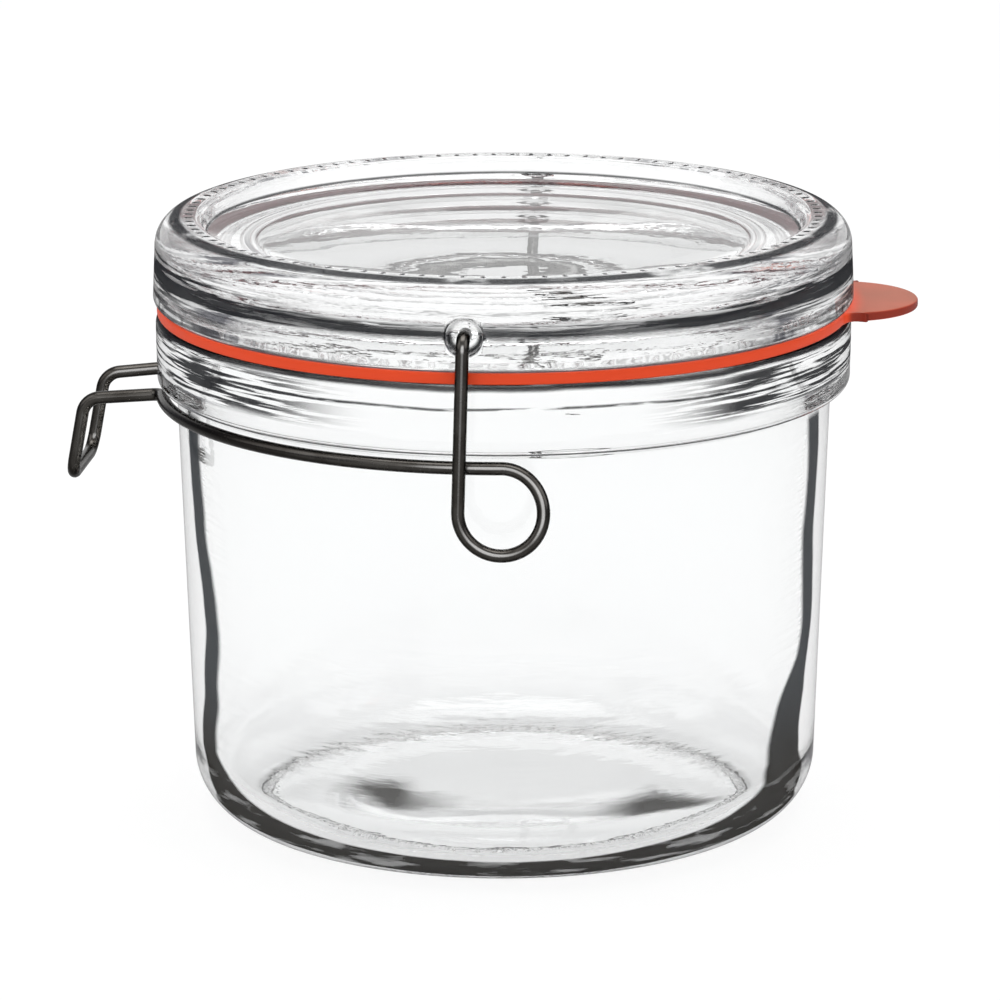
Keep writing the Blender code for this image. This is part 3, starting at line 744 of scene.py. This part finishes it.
def solid(name, places, faces):
    """A smooth mesh object whose faces point outwards."""
    mesh = mesh_of(name, places, [], faces)
    shape = bmesh.new()
    shape.from_mesh(mesh)
    if shape.calc_volume(signed=True) < 0:
        bmesh.ops.reverse_faces(shape, faces=shape.faces)
    for face in shape.faces:
        face.smooth = True
    shape.to_mesh(mesh)
    shape.free()
    return placed(name, mesh)


def geometry_tree(name, sizes):
    """A Geometry Nodes tree with a geometry input and named inputs: the tree, its nodes and its inputs."""
    tree = bpy.data.node_groups.new(name, "GeometryNodeTree")
    tree.interface.new_socket("Geometry", in_out="INPUT", socket_type="NodeSocketGeometry")
    for label, kind, default in sizes:
        socket = tree.interface.new_socket(label, in_out="INPUT", socket_type="NodeSocket" + kind)
        if default is not None:
            socket.default_value = default
    tree.interface.new_socket("Geometry", in_out="OUTPUT", socket_type="NodeSocketGeometry")
    nodes = Nodes(tree)
    inputs = tree.nodes.new("NodeGroupInput")
    return tree, nodes, {socket.name: Signal(nodes, socket) for socket in inputs.outputs if socket.name}


def end_tree(nodes, geometry, inputs):
    """Close a tree with Realize Instances, Set Material and its output."""
    real = nodes.add("GeometryNodeRealizeInstances", {0: geometry})
    done = nodes.add("GeometryNodeSetMaterial", {"Geometry": real, "Material": inputs["Material"]})
    nodes.add("NodeGroupOutput", {"Geometry": done})


def run_tree(item, tree, values, name):
    """Put a tree on an object, give its inputs their values, and turn the result into a plain mesh object."""
    step = item.modifiers.new(tree.name, "NODES")
    step.node_group = tree
    for socket in tree.interface.items_tree:
        if socket.in_out == "INPUT" and socket.name in values:
            step[socket.identifier] = values[socket.name]
    mesh = plain_mesh(item)
    mesh.name = name
    bpy.data.objects.remove(item, do_unlink=True)
    return placed(name, mesh)


def dot_ring_tree():
    """Moves a ring of oval dots on a turned piece up or down."""
    tree, nodes, inputs = geometry_tree("Ring of dots", (
        ("Count", "Int", 100), ("Ring Radius", "Float", 0.0475), ("Across", "Float", 0.001),
        ("Along", "Float", 0.001), ("Height", "Float", 0.0002), ("Turn", "Float", 0.0),
        ("Lowest", "Float", 0.0), ("Highest", "Float", 1.0), ("Material", "Material", None)))
    place = nodes.add("GeometryNodeInputPosition")
    x, y, z = nodes.add("ShaderNodeSeparateXYZ", {0: place}, output=AXES)
    around = y.math("ARCTAN2", x) + inputs["Turn"]
    step = around * inputs["Count"] / (2 * pi)
    beside = (step.math("FRACT") - 0.5) * (2 * pi) / inputs["Count"] * inputs["Ring Radius"]
    reach = (x * x + y * y).math("SQRT") - inputs["Ring Radius"]
    apart = (beside / inputs["Along"] * 2) ** 2 + (reach / inputs["Across"] * 2) ** 2
    lift = (1 - apart).math("MAXIMUM", 0.0).math("SQRT") * inputs["Height"]
    chosen = z.math("GREATER_THAN", inputs["Lowest"]) * z.math("LESS_THAN", inputs["Highest"])
    offset = nodes.add("ShaderNodeCombineXYZ", {"Z": lift})
    moved = nodes.add("GeometryNodeSetPosition", {
        "Geometry": inputs["Geometry"], "Selection": chosen, "Offset": offset})
    end_tree(nodes, moved, inputs)
    return tree


def wire_tree():
    """Draws a round wire along a path, with closed ends."""
    tree, nodes, inputs = geometry_tree("Wire along a path", (
        ("Wire Radius", "Float", 0.001), ("Sides", "Int", 24), ("Material", "Material", None)))
    path = nodes.add("GeometryNodeMeshToCurve", {0: inputs["Geometry"]})
    section = nodes.add("GeometryNodeCurvePrimitiveCircle", {
        "Resolution": inputs["Sides"], "Radius": inputs["Wire Radius"]})
    wire = nodes.add("GeometryNodeCurveToMesh", {
        "Curve": path, "Profile Curve": section, "Fill Caps": True})
    rounded = nodes.add("GeometryNodeSetShadeSmooth", {"Geometry": wire, "Shade Smooth": True})
    end_tree(nodes, rounded, inputs)
    return tree


def rounded_path(corners, fineness):
    """Round each corner of a path that has a bend radius, and return the points along it."""
    path = [corners[0][0]]
    for index in range(1, len(corners) - 1):
        place, radius = corners[index]
        if not radius:
            path.append(place)
            continue
        back = (corners[index - 1][0] - place).normalized()
        ahead = (corners[index + 1][0] - place).normalized()
        opening = back.angle(ahead)
        middle = place + (back + ahead).normalized() * (radius / sin(opening / 2))
        run = radius / tan(opening / 2)
        start = place + back * run - middle
        end = place + ahead * run - middle
        sweep = pi - opening
        steps = max(2, ceil(fineness * degrees(sweep) / 90))
        for step in range(steps + 1):
            part = step / steps
            path.append(middle + (sin((1 - part) * sweep) * start + sin(part * sweep) * end) / sin(sweep))
    path.append(corners[-1][0])
    return path


def clip_corners(size):
    """One half of the wire, from its tip in the dimple to the foot of the lever, as (place, bend radius)."""
    tip = Vector((0.0, -size.tip, size.pivot))
    leg_top = Vector((0.0, -size.leg, size.pivot))
    corners = [(tip, 0.0), (leg_top, size.tip_bend)]
    loop_z = size.hook_height - size.loop
    hook_start = asin(size.loop_offset / size.hook_radius)
    loop_end = size.hook_radius * cos(hook_start)
    for step in range(LOOP_STEPS + 1):
        part = step / LOOP_STEPS
        turn = radians(180 + 270 * part)
        reach = size.leg + (loop_end - size.leg) * smooth(max(0.0, 2 * part - 1))
        corners.append((Vector((size.loop_offset + size.loop * cos(turn), -reach,
                                loop_z + size.loop * sin(turn))), 0.0))
    hook_end = asin(size.lever_half / size.hook_radius) - QUARTER
    for step in range(1, HOOK_STEPS + 1):
        turn = hook_start + (hook_end - hook_start) * step / HOOK_STEPS
        place = Vector((size.hook_radius * sin(turn), -size.hook_radius * cos(turn), size.hook_height))
        corners.append((place, size.root_bend if step == HOOK_STEPS else 0.0))
    half = size.lever_half - size.lever_taper
    knee_x = size.hook_radius + size.lever_reach
    knee_z = size.hook_height - size.lever_sag
    corners.append((Vector((-knee_x, -half, knee_z)), size.lever_bend))
    corners.append((Vector((-knee_x - size.lever_lean, -half, knee_z - size.lever_drop)), size.foot_bend))
    return corners


def gasket_outline(size):
    """The gasket's outer edge seen from above, as (turn of the point on the bore, point on the edge)."""
    centre = size.radius + size.tab_reach - size.tab_radius
    to_ring = size.radius + size.tab_fillet
    to_tab = size.tab_radius + size.tab_fillet
    fillet_x = (to_ring ** 2 - to_tab ** 2 + centre ** 2) / (2 * centre)
    fillet_y = sqrt(to_ring ** 2 - fillet_x ** 2)
    ring_turn = asin(fillet_y / to_ring)
    tab_turn = acos((fillet_x - centre) / to_tab)
    edge = []
    sweep = pi - tab_turn + ring_turn
    for step in range(1, FILLET_STEPS + 1):
        turn = pi + ring_turn + sweep * step / FILLET_STEPS
        edge.append((fillet_x + size.tab_fillet * cos(turn), fillet_y + size.tab_fillet * sin(turn)))
    for step in range(1, TAB_STEPS):
        turn = tab_turn * (1 - 2 * step / TAB_STEPS)
        edge.append((centre + size.tab_radius * cos(turn), size.tab_radius * sin(turn)))
    edge += [(x, -y) for x, y in reversed(edge[:FILLET_STEPS])]
    pairs = [(ring_turn * (1 - 2 * (index + 1) / (len(edge) + 1)), place) for index, place in enumerate(edge)]
    rest = 2 * pi - 2 * ring_turn
    for step in range(RING_STEPS + 1):
        turn = -ring_turn - rest * step / RING_STEPS
        pairs.append((turn, (size.radius * cos(turn), size.radius * sin(turn))))
    return pairs


def gasket_mesh(size):
    """The gasket as one closed ring of sections, with the tab drawn out of its edge."""
    places, faces = [], []
    pairs = gasket_outline(size)
    top = size.bottom + size.thickness
    spin = Matrix.Rotation(size.tab_turn, 3, "Z")
    for turn, edge in pairs:
        start = Vector((size.bore * cos(turn), size.bore * sin(turn), 0.0))
        run = Vector((*edge, 0.0)) - start
        inner, outer = size.corner, run.length - size.corner
        # Half of the section, from the bore outwards, as (distance from the bore, depth below the face).
        half = [(size.corner * part, size.corner * (1 - part)) for part in (0.0, 0.3, 1.0)]
        half += [(inner + (outer - inner) * step / GASKET_ROWS, 0.0) for step in range(1, GASKET_ROWS)]
        for step in range(CORNER_STEPS + 1):
            tilt = QUARTER * step / CORNER_STEPS
            half.append((outer + size.corner * sin(tilt), size.corner * (1 - cos(tilt))))
        section = [(*point, True) for point in half] + [(*point, False) for point in reversed(half)]
        for along, drop, upper in section:
            place = start + run / run.length * along
            beyond = max(0.0, hypot(place.x, place.y) - size.radius + TAB_STEP_START)
            step_in = smooth(min(1.0, beyond / TAB_STEP_WIDTH))
            face = top - TAB_STEP_DROP * step_in
            thin = (size.thickness - size.tab_thickness) * step_in
            place.z = face - drop if upper else face - size.thickness + thin + drop
            places.append(spin @ place)
    count = len(places) // len(pairs)
    for index in range(len(pairs)):
        here, after = index * count, (index + 1) % len(pairs) * count
        for row in range(count):
            below = (row + 1) % count
            faces.append([here + row, here + below, after + below, after + row])
    return places, faces


def finish_piece(item, body, node):
    """Say what a finished piece rides on, hide the node it replaces, and end its operator."""
    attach(item, body)
    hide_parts(node)
    return {"FINISHED"}


class JAR_OT_glass_body(bpy.types.Operator):
    """Make the glass body, with the grooves across its foot ring"""
    bl_idname = "jar.glass_body"
    bl_label = "Glass body"

    def execute(self, context):
        size = context.scene.jar_body
        profile = body_profile(size)
        inner, outer = size.radius - size.heel - size.foot_ring, size.radius - size.heel
        fine = ((inner - TINY, -TINY), (outer + TINY, TINY))
        blank = turned("body_blank", profile, size.segments, fine, GROOVE_CUTS, inside_shares(size, profile))
        material = glass_material("clear_body_glass", context.scene.jar_finishes, BODY_STREAKS, body_painted_shade,
                                  (inner, outer))
        values = {"Count": size.grooves, "Ring Radius": (inner + outer) / 2, "Across": size.foot_ring,
                  "Along": size.groove_width, "Height": size.groove_depth, "Turn": 0.0,
                  "Lowest": BELOW_ALL, "Highest": FOOT_LEVEL, "Material": material}
        item = run_tree(blank, dot_ring_tree(), values, "glass_body")
        return finish_piece(item, "jar", "jar_body")


class JAR_OT_glass_lid(bpy.types.Operator):
    """Make the glass lid, with its dimples and its ring of dots"""
    bl_idname = "jar.glass_lid"
    bl_label = "Glass lid"

    def execute(self, context):
        size = context.scene.jar_lid
        dots = context.scene.jar_dots
        top = size.bottom + size.height
        inner, outer = dots.ring - dots.across / 2, dots.ring + dots.across / 2
        fine = ((inner, top - size.recess), (outer, top + size.recess))
        blank = turned("lid_blank", lid_profile(size), size.segments, fine, DOT_CUTS)
        self.press_dimples(blank, size)
        material = glass_material("clear_lid_glass", context.scene.jar_finishes, LID_STREAKS,
                                  partial(lid_painted_shade, dots))
        values = {"Count": dots.count, "Ring Radius": dots.ring, "Across": dots.across, "Along": dots.along,
                  "Height": -dots.depth, "Turn": dots.turn, "Lowest": top - size.recess, "Highest": ABOVE_ALL,
                  "Material": material}
        item = run_tree(blank, dot_ring_tree(), values, "glass_lid")
        return finish_piece(item, "lid", "lid")

    def press_dimples(self, blank, size):
        """Cut a round dimple into each side of the lid."""
        ball = (size.dimple_radius ** 2 + size.dimple_depth ** 2) / (2 * size.dimple_depth)
        middle = size.radius - size.dimple_depth + ball
        shape = bmesh.new()
        for side in (-1, 1):
            place = Matrix.Translation((0.0, side * middle, size.bottom + size.dimple_height))
            bmesh.ops.create_uvsphere(shape, u_segments=64, v_segments=32, radius=ball,
                                      matrix=place @ Matrix.Rotation(QUARTER, 4, "X"))
        mesh = bpy.data.meshes.new("dimple_balls")
        shape.to_mesh(mesh)
        shape.free()
        balls = placed("dimple_balls", mesh)
        cut = blank.modifiers.new("Dimples", "BOOLEAN")
        cut.operation = "DIFFERENCE"
        cut.object = balls
        cut.solver = "EXACT"
        pressed = plain_mesh(blank)
        blank.modifiers.clear()
        blank.data = pressed
        bpy.data.objects.remove(balls, do_unlink=True)


class JAR_OT_gasket(bpy.types.Operator):
    """Make the rubber gasket with its pull tab"""
    bl_idname = "jar.gasket"
    bl_label = "Gasket"

    def execute(self, context):
        item = solid("rubber_gasket", *gasket_mesh(context.scene.jar_gasket))
        item.data.materials.append(rubber_material(context.scene.jar_finishes))
        return finish_piece(item, "lid", "gasket")


class JAR_OT_wire_clip(bpy.types.Operator):
    """Make the sprung wire clip"""
    bl_idname = "jar.wire_clip"
    bl_label = "Wire clip"

    def execute(self, context):
        size = context.scene.jar_clip
        near = clip_corners(size)
        far = [(Vector((place.x, -place.y, place.z)), radius) for place, radius in reversed(near)]
        path = rounded_path(near + far, BEND_STEPS)
        edges = [(step, step + 1) for step in range(len(path) - 1)]
        line = placed("clip_path", mesh_of("clip_path", path, edges, []))
        material = wire_material(context.scene.jar_finishes)
        values = {"Wire Radius": size.wire, "Sides": WIRE_SIDES, "Material": material}
        item = run_tree(line, wire_tree(), values, "spring_wire_clip")
        return finish_piece(item, "clip", "wire_clip")


class JAR_OT_studio(bpy.types.Operator):
    """Make the floor, the lamps, the sky and the camera"""
    bl_idname = "jar.studio"
    bl_label = "Studio"

    def execute(self, context):
        scene = context.scene
        settings = scene.jar_studio
        scene.view_settings.view_transform = "Standard"
        for name, limit in BOUNCES.items():
            setattr(scene.cycles, name, limit)
        self.add_floor()
        self.add_sky(scene)
        for name, power, width, place in LAMPS:
            self.add_lamp(name, getattr(settings, power), width, place)
        self.add_camera(scene, settings)
        return {"FINISHED"}

    def add_floor(self):
        """A pale floor with a soft shadow, white to the camera and through glass, darker in reflections."""
        pale, dim, white = (0.86,) * 3, (0.12,) * 3, (1.0,) * 3
        made, nodes = new_material("pale_floor", pale)
        straight_on, through, glossy = nodes.add("ShaderNodeLightPath", output=(
            "Is Camera Ray", "Is Transmission Ray", "Is Glossy Ray"))
        diffuse = nodes.add("ShaderNodeBsdfDiffuse", {"Color": pale})
        shade = nodes.add("ShaderNodeBsdfDiffuse", {"Color": dim})
        matt = nodes.mix_shaders(glossy * (1 - through) * 0.7, diffuse, shade)
        glow = nodes.add("ShaderNodeEmission", {"Color": white, "Strength": GLOW_STRENGTH})
        share_of_glow = straight_on * 0.85 + through * 0.5
        nodes.add("ShaderNodeOutputMaterial", {"Surface": nodes.mix_shaders(share_of_glow, matt, glow)})
        corners = [(x * FLOOR_REACH, y * FLOOR_REACH, FLOOR_HEIGHT)
                   for x, y in ((-1, -1), (1, -1), (1, 1), (-1, 1))]
        mesh = mesh_of("floor", corners, [], [(0, 1, 2, 3)])
        mesh.materials.append(made)
        placed("floor", mesh)

    def add_sky(self, scene):
        """White to the camera. Glass and metal see a white horizon, a dark band above it and dark sides."""
        world = bpy.data.worlds.new("studio_room")
        world.use_nodes = True
        world.node_tree.nodes.clear()
        nodes = Nodes(world.node_tree)
        towards = nodes.add("ShaderNodeTexCoord", output="Generated")
        x, z = nodes.add("ShaderNodeSeparateXYZ", {0: towards}, output=("X", "Z"))
        sides = x.math("ABSOLUTE").between(0.50, 0.72) * (1 - z.between(0.60, 0.70)) * 0.9
        room = nodes.mix(sides, nodes.ramp(ROOM, z), (0.05, 0.05, 0.07))
        camera_ray = nodes.add("ShaderNodeLightPath", output="Is Camera Ray")
        tone = nodes.mix(camera_ray, room, (1.0, 1.0, 1.0))
        background = nodes.add("ShaderNodeBackground", {"Color": tone, "Strength": ROOM_STRENGTH})
        nodes.add("ShaderNodeOutputWorld", {"Surface": background})
        scene.world = world

    def add_lamp(self, name, power, width, place):
        """A square soft lamp that points at the jar."""
        lamp = bpy.data.lights.new(name, "AREA")
        lamp.energy = power
        lamp.size = width
        item = placed(name, lamp)
        item.location = place
        item.rotation_euler = (LAMPS_AIM - Vector(place)).to_track_quat("-Z", "Y").to_euler()

    def add_camera(self, scene, settings):
        """The camera at the photograph's viewing angle."""
        lens = bpy.data.cameras.new("camera")
        lens.sensor_width = SENSOR_WIDTH
        lens.lens = settings.focal
        lens.shift_x = settings.shift_x
        lens.shift_y = settings.shift_y
        lens.clip_end = 5 * FLOOR_REACH
        camera = placed("camera", lens)
        place = Vector((settings.distance * sin(settings.azimuth), -settings.distance * cos(settings.azimuth),
                        settings.height))
        towards = Vector((0.0, 0.0, settings.aim)) - place
        turn = towards.to_track_quat("-Z", "Y").to_matrix() @ Matrix.Rotation(settings.roll, 3, "Z")
        camera.location = place
        camera.rotation_euler = turn.to_euler()
        scene.camera = camera


class JAR_PT_panel(bpy.types.Panel):
    """Lists the pieces of the jar"""
    bl_idname = "JAR_PT_panel"
    bl_label = "Food storage jar"
    bl_space_type = "VIEW_3D"
    bl_region_type = "UI"
    bl_category = PANEL_TAB

    def draw(self, context):
        for operator in OPERATORS:
            self.layout.operator(operator.bl_idname)


GROUPS = {"jar_body": BodySizes, "jar_lid": LidSizes, "jar_dots": DotSizes, "jar_gasket": GasketSizes,
          "jar_clip": ClipSizes, "jar_finishes": Finishes, "jar_studio": StudioSettings}
OPERATORS = (JAR_OT_studio, JAR_OT_glass_body, JAR_OT_glass_lid, JAR_OT_gasket, JAR_OT_wire_clip)
CLASSES = (*GROUPS.values(), *OPERATORS, JAR_PT_panel)


def register():
    for made in CLASSES:
        bpy.utils.register_class(made)
    for name, group in GROUPS.items():
        setattr(bpy.types.Scene, name, PointerProperty(type=group))


def unregister():
    for name in GROUPS:
        delattr(bpy.types.Scene, name)
    for made in reversed(CLASSES):
        bpy.utils.unregister_class(made)


def main():
    register()
    bpy.ops.jar.studio()
    bpy.ops.jar.glass_body()
    bpy.ops.jar.glass_lid()
    bpy.ops.jar.gasket()
    bpy.ops.jar.wire_clip()


if __name__ == "__main__":
    main()
